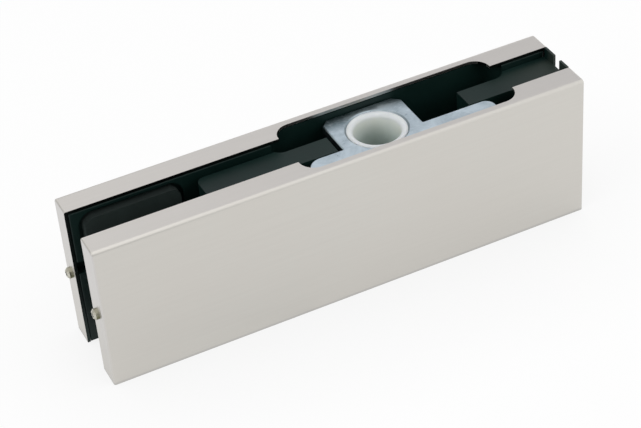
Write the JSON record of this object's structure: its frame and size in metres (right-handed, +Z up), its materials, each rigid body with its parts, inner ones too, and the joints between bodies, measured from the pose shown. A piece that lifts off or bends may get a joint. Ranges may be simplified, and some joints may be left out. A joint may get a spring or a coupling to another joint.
{
  "type": "glass patch fitting",
  "caption": "Rectangular glass patch fitting: satin covers over black clamp plates with gaskets, a spine in the glass notch, and a steel insert with a plain bush for the pivot pin.",
  "frame": {"origin": "middle of the underside, where the clamp plates and covers stand on a flat surface", "axes": "+X along the fitting towards its closed end, +Y across the glass towards the rear cover, +Z up along the pivot axis"},
  "size_m": [0.1682, 0.031, 0.051],
  "materials": {
    "satin_stainless": "fine satin, brushed along the fitting",
    "black_casting": "satin black paint on a casting",
    "zinc_steel": "bluish bright zinc plating",
    "white_nylon": "turned white nylon",
    "gasket_rubber": "matt black sheet",
    "black_screw": "black oxide",
    "small_screw": "pale yellow zinc plating"
  },
  "bodies": {
    "root": {"front_cover": "satin_stainless", "rear_cover": "satin_stainless", "front_clamp_plate": "black_casting", "rear_clamp_plate": "black_casting", "pivot_insert": "zinc_steel", "pivot_bush": "white_nylon", "front_gasket": "gasket_rubber", "rear_gasket": "gasket_rubber", "clamp_screws": "black_screw", "insert_screws": "black_screw", "cover_screws": "small_screw"}
  },
  "joints": []
}
